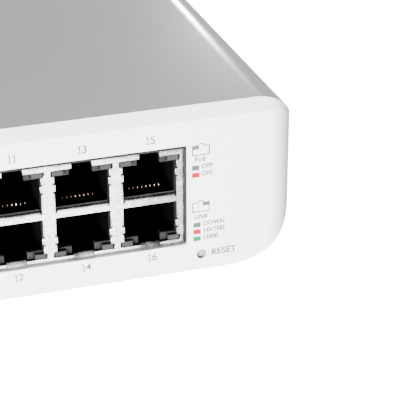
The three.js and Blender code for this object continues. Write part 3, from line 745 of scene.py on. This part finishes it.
def make_case():
    seam = seam_cutter(SEAM_BOTTOM, BODY_TOP + 2 * PAST)
    tub = carved(shell_mesh(), [seam, *front_cutters(), *rear_cutters(), *floor_cutters()])
    tub = bevelled(tub, 0.18 * MM, segments=3)
    smooth_by_angle(tub)
    piece = new_piece("housing_shell", tub, WHITE)
    shade_case(tub)
    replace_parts(piece, "housing")

    cover = carved(shell_mesh(), [seam_cutter(SEAM_TOP, BODY_BOTTOM - 2 * PAST)])
    leant_back(cover)
    cover = bevelled(cover, 0.1 * MM, segments=3)
    smooth_by_angle(cover)
    lip = bmesh.new()
    inset = WALL + LIP_GAP
    low, high = SEAM_BOTTOM - LIP_DROP, SEAM_TOP + 1 * MM
    outer_low, outer_high = skin(lip, inset, low, high, True)
    inner_low, inner_high = skin(lip, inset + LIP_THICKNESS, low, high, False)
    bridge(lip, inner_low, outer_low)
    bridge(lip, outer_high, inner_high)
    bmesh.ops.remove_doubles(lip, verts=lip.verts, dist=1e-6)
    cover = merged([cover, mesh_of("lip", lip)])
    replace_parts(new_piece("cover_shell", cover, COVER_PAINTED_SHADE_WHITE), "top_cover")


make_case()


# ------------------------ jack shields
def port_middle(side, column):
    return block_left(side) + PORT_MARGIN + PORT_WIDTH / 2 + column * PORT_PITCH


SHEET = 0.4 * MM
TOP_GAP = 0.2 * MM
FINGER_LOW = 4.6 * MM
FINGER_HIGH = 6.2 * MM
FINGER_REACH = 0.22 * MM
FINGER_SLIT = 0.4 * MM
FOLD_RELIEF = 0.45 * MM
FOLD_RADIUS = 0.3 * MM
FOLD_DEPTH = 1.1 * MM
FOLD_SHEET = 0.25 * MM
RELIEF_DEPTH = 0.6 * MM
SIDE_INSET = 0.15 * MM
RAMP_RUN = 0.8 * MM
RAMP_RISE = 0.85 * MM


def window_side(x, inward, light_z, strip_z, bar_z, up):
    """One side of a window, from the middle bar past a spring finger and a light to its strip."""
    points = [(x, bar_z)]
    if up > 0:
        fold_x, relief_z = x + inward * FOLD_RELIEF, bar_z - RELIEF_DEPTH
        points = [(fold_x, bar_z - FOLD_RADIUS), (fold_x, relief_z), (x, relief_z)]
    low, high = bar_z + up * FINGER_LOW, bar_z + up * FINGER_HIGH
    slit = up * FINGER_SLIT
    slit_x = x - inward * FINGER_SLIT
    tip_x = x + inward * FINGER_REACH
    light_x = x - inward * LIGHT_INTO_BAR
    points += [(x, low - slit), (slit_x, low - slit), (slit_x, low), (tip_x, low), (tip_x, high)]
    points += [(slit_x, high), (slit_x, high + slit), (x, high + slit)]
    points += [(x, light_z), (light_x, light_z), (light_x, strip_z)]
    return points


def shield_half(side, up):
    """The front plate's outline along one row of windows, from left to right."""
    left, right = SHIELD_BOX[side][0].x, SHIELD_BOX[side][1].x
    bar_z = UPPER_FLOOR if up > 0 else LOWER_CEILING
    strip_z = UPPER_CEILING if up > 0 else LOWER_FLOOR
    edge_z = SHIELD_TOP - TOP_GAP if up > 0 else SHIELD_BOTTOM
    light_z = strip_z - up * LIGHT_HEIGHT
    points = [(left, edge_z)]
    for column in range(COLUMNS):
        middle = port_middle(side, column)
        latch = LATCH_WIDTH / 2
        window = PORT_WIDTH / 2
        points += [(middle - latch, edge_z), (middle - latch, strip_z)]
        points += reversed(window_side(middle - window, 1, light_z, strip_z, bar_z, up))
        points += window_side(middle + window, -1, light_z, strip_z, bar_z, up)
        points += [(middle + latch, strip_z), (middle + latch, edge_z)]
    points.append((right, edge_z))
    return points


def folded_edge(x0, x1, front, top, foot):
    """A strip of sheet that rises from foot to top and folds back into the socket."""
    steps = 6
    outer, inner = [], []
    for i in range(steps + 1):
        turn = math.pi / 2 * i / steps
        y, z = front + FOLD_RADIUS, top - FOLD_RADIUS
        outer.append((y - FOLD_RADIUS * math.cos(turn), z + FOLD_RADIUS * math.sin(turn)))
        thin = FOLD_RADIUS - FOLD_SHEET
        inner.append((y - thin * math.cos(turn), z + thin * math.sin(turn)))
    back = front + FOLD_DEPTH
    outline = [(front, foot), *outer, (back, top), (back, top - FOLD_SHEET)]
    outline += [*reversed(inner), (inner[0][0], foot)]
    return along_x(outline, x0, x1)


def make_shield(side):
    outline = shield_half(side, 1) + list(reversed(shield_half(side, -1)))
    front = plate_mesh(outline, SHIELD_FRONT, SHIELD_FRONT + SHEET, fillet=0.09 * MM)
    low, high = SHIELD_BOX[side]
    top = high.z - TOP_GAP - 0.2 * MM
    y0 = SHIELD_FRONT + SHEET - 0.05 * MM
    x0, x1 = low.x + SIDE_INSET, high.x - SIDE_INSET
    meshes = [
        front,
        box_mesh((x0, y0, low.z), (x0 + SHEET, high.y, top)),
        box_mesh((x1 - SHEET, y0, low.z), (x1, high.y, top)),
        box_mesh((x0 + SHEET, y0 + 2.5 * MM, top - SHEET), (x1 - SHEET, high.y, top)),
        box_mesh((x0 + SHEET, high.y - SHEET, low.z), (x1 - SHEET, high.y, top - SHEET)),
    ]
    for column in range(COLUMNS):
        middle = port_middle(side, column)
        reach = PORT_WIDTH / 2 - FOLD_RELIEF
        foot = UPPER_FLOOR - FOLD_RADIUS - 0.05 * MM
        meshes.append(folded_edge(middle - reach, middle + reach, SHIELD_FRONT, UPPER_FLOOR, foot))
        latch = LATCH_WIDTH / 2 - 0.1 * MM
        y, z = SHIELD_FRONT + 0.1 * MM, SHIELD_BOTTOM
        slope_top = (y + RAMP_RUN, z + RAMP_RISE)
        end = y + 1.0 * MM
        ramp = [(y, z), (y, z + 0.12 * MM), slope_top, (end, z + RAMP_RISE), (end, z)]
        meshes.append(along_x(ramp, middle - latch, middle + latch))
    shield = merged(meshes)
    smooth_by_angle(shield, 50)
    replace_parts(new_piece(f"shield_{side}", shield, SHIELD), f"jack_shield_{side}")


for side_name in SIDES:
    make_shield(side_name)


# ------------------------ jack frames and light pipes
FRAME_FRONT = SHIELD_FRONT + 0.5 * MM
FRAME_BACK = SHIELD_FRONT + 15.9 * MM
LEDGE_DEPTH = 2.7 * MM
SILL_START = 0.75 * MM
DEEP_START = 1.5 * MM
HOLDER_WIDTH = 1.45 * MM
HOLDER_HEIGHT = 0.5 * MM
HOLDER_BACK = 0.55 * MM
HOLDER_DEPTH = 2.6 * MM
LATCH_TOP = SHIELD_TOP - 0.5 * MM
LATCH_BOTTOM = SHIELD_BOTTOM + 0.3 * MM


def corner_lights(side, column):
    """(outer edge X, direction to the port's middle, row) of a column's four lights."""
    middle = port_middle(side, column)
    for inward in (1, -1):
        outer = middle - inward * (PORT_WIDTH / 2 + LIGHT_INTO_BAR)
        for row in ROWS:
            yield outer, inward, row


def span(a, b):
    return (a, b) if a < b else (b, a)


def light_box(outer, inward, row, grow, extra_width, extra_height, y0, y1):
    """A box on a light's window, grown all round and widened towards the port."""
    x0, x1 = span(outer - inward * grow, outer + inward * (LIGHT_WIDTH + extra_width + grow))
    if row == "upper":
        z0, z1 = UPPER_CEILING - LIGHT_HEIGHT - extra_height - grow, UPPER_CEILING + grow
    else:
        z0, z1 = LOWER_FLOOR - grow, LOWER_FLOOR + LIGHT_HEIGHT + extra_height + grow
    return box_mesh((x0, y0, z0), (x1, y1, z1))


def frame_cutters(side, column):
    """Cutters for one column of sockets, in groups whose boxes don't touch."""
    middle = port_middle(side, column)
    y0, y1 = FRAME_FRONT - PAST, FRAME_BACK - 0.6 * MM
    back = y1 - 0.1 * MM

    def cut(half, front, depth, low, high):
        return box_mesh((middle - half, front, low), (middle + half, depth, high))

    half = PORT_WIDTH / 2 - 0.05 * MM
    latch = LATCH_WIDTH / 2
    wires = half - 0.4 * MM
    ledge = FRAME_FRONT + LEDGE_DEPTH
    overlap = 0.5 * MM
    return [
        [
            cut(half, y0, y1, UPPER_FLOOR - 0.12 * MM, UPPER_CEILING),
            cut(half, y0, y1, LOWER_FLOOR, LOWER_CEILING),
        ],
        [
            cut(latch, y0, back, UPPER_CEILING - 1 * MM, LATCH_TOP - 0.4 * MM),
            cut(latch, y0, back, LATCH_BOTTOM, LOWER_FLOOR + 1 * MM),
        ],
        [
            cut(latch, y0, FRAME_FRONT + 2 * MM, UPPER_CEILING - overlap, SHIELD_TOP),
            cut(latch, y0, FRAME_FRONT + 0.6 * MM, SHIELD_BOTTOM - 1 * MM, LOWER_FLOOR + overlap),
            cut(wires, ledge, back, LOWER_CEILING - overlap, UPPER_FLOOR + overlap),
        ],
    ]


def liner_meshes(side):
    """The frame's thin lip in the gap above and beside the shield."""
    low, high = SHIELD_BOX[side]
    left, right = low.x - BEZEL_GAP, high.x + BEZEL_GAP + GAP_RIGHT
    clear = 0.03 * MM
    top = high.z - TOP_GAP + clear
    y0, y1 = FRONT + 0.62 * MM, SHIELD_FRONT + 1.2 * MM
    side_y0 = FRONT + 0.4 * MM
    return [
        box_mesh((left + clear, y0, top), (right - clear, y1, OPENING_TOP - clear)),
        box_mesh((high.x + clear, side_y0, low.z), (right - clear, y1, top - clear)),
        box_mesh((left + clear, side_y0, low.z), (low.x - clear, y1, top - clear)),
    ]


def split_at(mesh, y):
    """Cuts the faces that cross a depth, so that each lies on one side of it."""
    bm = bmesh.new()
    bm.from_mesh(mesh)
    geometry = [*bm.verts, *bm.edges, *bm.faces]
    bmesh.ops.bisect_plane(bm, geom=geometry, plane_co=(0, y, 0), plane_no=(0, 1, 0))
    return mesh_of("split", bm)


def make_frame(side):
    """The black moulding, with painted light on the sills (a grey copy of the black) and painted shade
    on the sockets' deep walls (a darker copy of the black).
    """
    low, high = SHIELD_BOX[side]
    edge = 0.6 * MM
    start = (low.x + edge, FRAME_FRONT, SHIELD_BOTTOM + 0.02 * MM)
    block = box_mesh(start, (high.x - edge, FRAME_BACK, LATCH_TOP))
    for group in zip(*(frame_cutters(side, column) for column in range(COLUMNS))):
        block = carved(block, [cutter for column_cutters in group for cutter in column_cutters])
    holders = []
    pockets = []
    y0 = FRAME_FRONT + HOLDER_BACK
    y1 = y0 + HOLDER_DEPTH
    pocket_front, pocket_back = SHIELD_FRONT - PAST, y0 + 1.2 * MM
    for column in range(COLUMNS):
        for light in corner_lights(side, column):
            holders.append(light_box(*light, 0.0, HOLDER_WIDTH, HOLDER_HEIGHT, y0, y1))
            pockets.append(light_box(*light, 0.05 * MM, 0, 0, pocket_front, pocket_back))
    block = carved(block, pockets)
    shells = [bevelled(carved(holder, [pocket]), 0.1 * MM) for holder, pocket in zip(holders, pockets)]
    deep = FRAME_FRONT + DEEP_START
    sill_end = FRAME_FRONT + LEDGE_DEPTH
    frame_mesh = merged([bevelled(block, 0.1 * MM), *shells, *liner_meshes(side)])
    frame_mesh = split_at(split_at(frame_mesh, deep), FRAME_FRONT + SILL_START)
    piece = new_piece(f"socket_frame_{side}", frame_mesh, BLACK)
    frame_mesh.materials.append(DEEP_PAINTED_SHADE_BLACK)
    frame_mesh.materials.append(SILL_PAINTED_LIGHT)
    for polygon in frame_mesh.polygons:
        at = polygon.center
        # painted light on the upper sills, painted shade on every face deeper than deep
        on_sill = polygon.normal.z > 0.9 and abs(at.z - UPPER_FLOOR) < 0.2 * MM
        if on_sill and FRAME_FRONT + SILL_START < at.y < sill_end:
            polygon.material_index = 2
        elif at.y > deep:
            polygon.material_index = 1
    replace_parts(piece, f"jack_frame_{side}")


def make_light_windows(side):
    """The two pieces of light windows, one for each row of sockets."""
    front, back = SHIELD_FRONT + 0.12 * MM, FRAME_FRONT + 1.6 * MM
    sizes = (-0.1 * MM, -0.15 * MM, 0.1 * MM, front, back)
    for row in ROWS:
        meshes = []
        for column in range(COLUMNS):
            for outer, inward, at in corner_lights(side, column):
                if at == row:
                    window = light_box(outer + inward * 0.2 * MM, inward, row, *sizes)
                    meshes.append(bevelled(window, 0.12 * MM, segments=3))
        piece = new_piece(f"light_windows_{side}_{row}", merged(meshes), LIGHT_PIPE)
        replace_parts(piece, f"light_pipes_{side}_{row}")


for side_name in SIDES:
    make_frame(side_name)
    make_light_windows(side_name)


# ------------------------ contacts
CONTACT_PITCH = 0.99 * MM
CONTACTS = 8
WIRE_RADIUS = 0.09 * MM
TIP_DEPTH = 4.95 * MM
TIP_LENGTH = 0.15 * MM


# each bend's distance behind the tip, and its height off the tongue's face, in mm
WIRE_BENDS = (
    (0.75, -0.35),
    (0.15, -0.12),
    (0, 0.08),
    (0.15, 0.28),
    (0.8, 0.7),
    (9.2, 5.2),
    (9.9, 5.4),
    (10.8, 5.4),
)
TUBE_SIDES = 8


def wire_path(x, floor_z, up):
    """A contact wire: out of the tongue near the socket's mouth, then sloping back to the rear."""
    tip_y = SHIELD_FRONT + TIP_DEPTH
    return [Vector((x, tip_y + back * MM, floor_z + up * rise * MM)) for back, rise in WIRE_BENDS]


def add_tube(bm, path, radius):
    """A closed tube along a path that stays in a plane of constant X."""
    rings = []
    across = Vector((1, 0, 0))
    for i, point in enumerate(path):
        before = path[max(0, i - 1)]
        after = path[min(len(path) - 1, i + 1)]
        normal = (after - before).normalized().cross(across)
        ring = []
        for k in range(TUBE_SIDES):
            angle = 2 * math.pi * k / TUBE_SIDES
            offset = across * radius * math.cos(angle) + normal * radius * math.sin(angle)
            ring.append(bm.verts.new(point + offset))
        rings.append(ring)
    for lower, upper in zip(rings, rings[1:]):
        bridge(bm, lower, upper)
    bm.faces.new(list(reversed(rings[0])))
    bm.faces.new(rings[-1])


def port_number(side, column, row):
    first = 1 if side == "left" else 2 * COLUMNS + 1
    return first + 2 * column + (0 if row == "upper" else 1)


def each_port():
    for side in SIDES:
        for column in range(COLUMNS):
            for row in ROWS:
                yield side, column, row


def make_contacts():
    """Eight wires to a port: gold on the bend that meets the plug, and painted shade behind it (a
    near-black copy of the gold).
    """
    for side, column, row in each_port():
        up = 1 if row == "upper" else -1
        surface = UPPER_FLOOR + 0.2 * MM if up > 0 else LOWER_CEILING - 0.2 * MM
        bm = bmesh.new()
        for i in range(CONTACTS):
            x = port_middle(side, column) + (i - (CONTACTS - 1) / 2) * CONTACT_PITCH
            add_tube(bm, wire_path(x, surface, up), WIRE_RADIUS)
        bmesh.ops.recalc_face_normals(bm, faces=bm.faces)
        mesh = mesh_of("contacts", bm)
        smooth_by_angle(mesh, 60)
        new_piece(f"contact_wires_{port_number(side, column, row)}", mesh, GOLD)
        mesh.materials.append(GOLD_PAINTED_SHADE)
        for polygon in mesh.polygons:
            # painted shade: the wire behind the tip takes the near-black copy of the gold
            if polygon.center.y > SHIELD_FRONT + TIP_DEPTH + TIP_LENGTH:
                polygon.material_index = 1


make_contacts()


# ------------------------ printing on the front
PRINT_PROUD = 0.012 * MM
STROKE_GAIN = 0.035 * MM
CAPITAL_SHARE = 0.72  # how much of the font's size a capital letter stands
NUMERAL_HEIGHT = 1.85 * MM
NUMERAL_STEP = 1.12 * MM
NUMERAL_STROKE = 0.24 * MM
NUMERAL_MIDDLE = {"upper": BODY_BOTTOM + 33.85 * MM, "lower": BODY_BOTTOM + 4.95 * MM}
KEY_X = BLOCK_RIGHT + 1.45 * MM
CHIP_WIDTH = 1.75 * MM
CHIP_HEIGHT = 1.18 * MM
WORD_HEIGHT = 1.15 * MM
ICON_LINE = 0.24 * MM
ICON_WIDTH = 4.15 * MM
ICON_HEIGHT = 2.2 * MM


def add_print(name, meshes, material):
    new_piece(name, merged(meshes), material)


def text_mesh(words, x, z, height, align="CENTER", widen=1.0):
    """Flat lettering on the front face: x, z is its middle, or its left end."""
    curve = bpy.data.curves.new("words", "FONT")
    curve.body = words
    curve.size = height / CAPITAL_SHARE
    curve.align_x = align
    curve.align_y = "CENTER"
    curve.extrude = PRINT_PROUD / 2
    curve.offset = STROKE_GAIN
    holder = bpy.data.objects.new("words", curve)
    link(holder)
    mesh = evaluated_mesh(holder)
    place = Matrix.Translation((x, FRONT - PRINT_PROUD / 2, z))
    facing = Matrix.Rotation(math.pi / 2, 4, "X")
    mesh.transform(place @ facing @ Matrix.Diagonal((widen, 1, 1, 1)))
    return mesh


def front_bar(x0, x1, z0, z1):
    """A flat bar of ink on the front face."""
    return box_mesh((x0, FRONT - PRINT_PROUD, z0), (x1, FRONT, z1))


def front_plate(outline):
    return plate_mesh(outline, FRONT - PRINT_PROUD, FRONT)


def one_mesh(x, z):
    """A figure 1 with a flag and a foot."""
    half = NUMERAL_STROKE / 2
    low, high = z - NUMERAL_HEIGHT / 2, z + NUMERAL_HEIGHT / 2
    foot = 0.42 * MM
    foot_top = low + NUMERAL_STROKE * 0.8
    flag = 0.36 * MM
    outline = [
        (x - foot, low),
        (x + foot, low),
        (x + foot, foot_top),
        (x + half, foot_top),
        (x + half, high),
        (x - half, high),
        (x - half - flag, high - flag),
        (x - half - flag + 0.1 * MM, high - flag - 0.12 * MM),
        (x - half, high - 0.28 * MM),
        (x - half, foot_top),
        (x - foot, foot_top),
    ]
    return front_plate(list(reversed(outline)))


def make_numerals():
    meshes = []
    for side, column, row in each_port():
        z = NUMERAL_MIDDLE[row]
        digits = str(port_number(side, column, row))
        x = port_middle(side, column) - NUMERAL_STEP * (len(digits) - 1) / 2
        for digit in digits:
            made = one_mesh(x, z) if digit == "1" else text_mesh(digit, x, z, NUMERAL_HEIGHT)
            meshes.append(made)
            x += NUMERAL_STEP
    add_print("printed_numerals", meshes, INK_PALE)


def chip_mesh(x, z):
    return front_bar(x, x + CHIP_WIDTH, z - CHIP_HEIGHT / 2, z + CHIP_HEIGHT / 2)


def icon_meshes(z):
    """The outline of a jack, latch upwards."""
    x = KEY_X
    width, height = ICON_WIDTH, ICON_HEIGHT
    tab, tab_rise, slope = 0.9 * MM, 0.5 * MM, 0.3 * MM
    low, high = z - height / 2, z + height / 2
    middle = x + width / 2
    upper = [
        (x, high),
        (middle - tab / 2 - slope, high),
        (middle - tab / 2, high + tab_rise),
        (middle + tab / 2, high + tab_rise),
        (middle + tab / 2 + slope, high),
        (x + width, high),
    ]
    line = ICON_LINE
    under = []
    for above_x, above_z in reversed(upper[1:-1]):
        shift = -line * 0.4 if above_x > middle else line * 0.4
        under.append((above_x + shift, above_z - line))
    return [
        front_plate([*upper, (x + width, high - line), *under, (x, high - line)]),
        front_bar(x, x + line, low, high - line),
        front_bar(x + width - line, x + width, low, high - line),
        front_bar(x, x + width, low - line, low),
    ]


def icon_light(z, lit_right):
    """The filled-in light of an icon."""
    light_width, light_height = 1.45 * MM, 0.72 * MM
    high = z + ICON_HEIGHT / 2 - ICON_LINE
    x0 = KEY_X + ICON_WIDTH - ICON_LINE - light_width if lit_right else KEY_X + ICON_LINE
    return front_bar(x0, x0 + light_width, high - light_height, high)


def make_key():
    """The words, jack outlines and colour chips at the right end of the front face."""
    z = BODY_BOTTOM
    words = [
        ("PoE", KEY_X + 0.6 * MM, z + 27.8 * MM, 1.06),
        ("OFF", KEY_X + 2.15 * MM, z + 25.95 * MM, 1.0),
        ("ON", KEY_X + 2.15 * MM, z + 24.2 * MM, 1.0),
        ("LINK", KEY_X + 0.45 * MM, z + 13.5 * MM, 0.98),
        ("DOWN", KEY_X + 2.55 * MM, z + 11.65 * MM, 0.96),
        ("10/100", KEY_X + 2.5 * MM, z + 9.95 * MM, 1.18),
        ("1000", KEY_X + 2.5 * MM, z + 8.1 * MM, 1.18),
    ]
    meshes = [text_mesh(text, x, at, WORD_HEIGHT, "LEFT", widen) for text, x, at, widen in words]
    meshes.append(text_mesh("RESET", RESET_CENTRE.x + 2.3 * MM, z + 4.0 * MM, 1.6 * MM, "LEFT", 1.03))
    icons = (z + 30.1 * MM, z + 16.05 * MM)
    for at in icons:
        meshes += icon_meshes(at)
    add_print("printed_key", meshes, INK_DARK)
    lights = [icon_light(at, lit_right) for at, lit_right in zip(icons, (False, True))]
    add_print("printed_icon_lights", lights, INK_PALE)
    upper_x, lower_x = KEY_X - 0.05 * MM, KEY_X + 0.27 * MM
    slate = [chip_mesh(upper_x, z + 25.8 * MM), chip_mesh(lower_x, z + 11.5 * MM)]
    orange = [chip_mesh(upper_x, z + 24.0 * MM), chip_mesh(lower_x, z + 9.75 * MM)]
    add_print("printed_chips_slate", slate, INK_SLATE)
    add_print("printed_chips_orange", orange, INK_ORANGE)
    add_print("printed_chip_green", [chip_mesh(lower_x, z + 8.0 * MM)], INK_GREEN)


make_numerals()
make_key()


# ------------------------ carried-over nodes
def dress(prefix, material):
    for name, node in NODES.items():
        if name.startswith(prefix):
            node.data.materials.clear()
            node.data.materials.append(material)


def soften(prefix, width):
    """Rounds the hard edges of carried-over nodes, which keep their own vertices."""
    for name, node in NODES.items():
        if name.startswith(prefix):
            add_bevel(node, width, 2, 40)


for node_material, prefixes in (
    (RUBBER, ("foot_",)),
    (STEEL, ("case_screw_", "board_screw_", "supply_screw_", "inlet_screw_")),
    # painted shade: the contact modules take the near-black copy of the jack plastic
    (DEEP_PAINTED_SHADE_BLACK, ("contact_module_",)),
    (BOARD, ("main_board", "supply_board")),
    (CHIP, ("switch_chip", "poe_controller")),
    (ALUMINIUM, ("switch_chip_heatsink", "rectifier_heatsink")),
    (FERRITE, ("power_inductor", "mains_choke")),
    (SLEEVE, ("board_capacitor", "bulk_capacitor", "output_capacitor")),
    (BLACK, ("reset_switch",)),
    (PALE_GREY, ("reset_button",)),
    (LIGHT_PIPE, ("status_light_pipe",)),
    (TAPE, ("mains_transformer",)),
    (CERAMIC, ("mains_fuse",)),
    (FIBRE, ("insulating_sheet",)),
    (INLET_BLACK, ("mains_inlet",)),
    (PIN_METAL, ("inlet_pin_",)),
    (WIRE, ("supply_lead",)),
):
    for node_prefix in prefixes:
        dress(node_prefix, node_material)
soften("reset_button", 0.15 * MM)


# ------------------------ floor and light
FLOOR_HALF = 4
FLOOR_GLOW = 16.0
SKY_HEIGHTS = (-0.35, 0.1)
SKY_STRENGTHS = (0.2, 0.60)
# name, azimuth and elevation in degrees, distance and size in metres, watts
LIGHTS = (
    ("front_left_softbox", (-42, -4), 1.6, (0.9, 0.36), 220),
    ("low_front_panel", (18, -25), 1.2, (0.8, 0.4), 13),
    ("right_fill", (95, 2), 1.5, (0.6, 0.4), 7),
    ("back_right_strip", (153, 17), 1.8, (0.1, 0.16), 24),
)


def plain_stage():
    """A white floor that glows to the camera and lights nothing, like a cut-out's background."""
    bm = bmesh.new()
    bmesh.ops.create_grid(bm, x_segments=1, y_segments=1, size=FLOOR_HALF)
    floor = bpy.data.objects.new("floor", mesh_of("floor", bm))
    link(floor)
    look = Look("floor_white", (0.9, 0.9, 0.9), 0.9)
    look.mottle(look.noise(3, 2), 0.005)
    look.socket("Emission Color", (1, 1, 1, 1))
    look.socket("Emission Strength", FLOOR_GLOW)
    floor.data.materials.append(look.material)
    floor.visible_diffuse = False
    floor.visible_glossy = False
    floor.visible_shadow = False


def area_light(name, angles, distance, size, power):
    """A softbox that shines on the case from an azimuth and an elevation in degrees."""
    away = towards(angles)
    data = bpy.data.lights.new(name, "AREA")
    data.shape = "RECTANGLE"
    data.size, data.size_y = size
    data.energy = power
    light = bpy.data.objects.new(name, data)
    light.location = Vector((0, 0, BODY_TOP / 2)) + away * distance
    light.rotation_mode = "QUATERNION"
    light.rotation_quaternion = (-away).to_track_quat("-Z", "Y")
    link(light)


def studio():
    """Soft light from above, darker from below, with a strong softbox low in front on the left."""
    world = bpy.data.worlds.new("studio")
    world.use_nodes = True
    tree = world.node_tree
    background = tree.nodes["Background"]
    background.inputs["Color"].default_value = (1, 1, 1, 1)
    coordinates = tree.nodes.new("ShaderNodeTexCoord")
    split = tree.nodes.new("ShaderNodeSeparateXYZ")
    tree.links.new(coordinates.outputs["Generated"], split.inputs["Vector"])
    height = map_range(tree, split.outputs["Z"], SKY_HEIGHTS, SKY_STRENGTHS)
    tree.links.new(height.outputs["Result"], background.inputs["Strength"])
    bpy.context.scene.world = world
    for light in LIGHTS:
        area_light(*light)


plain_stage()
studio()
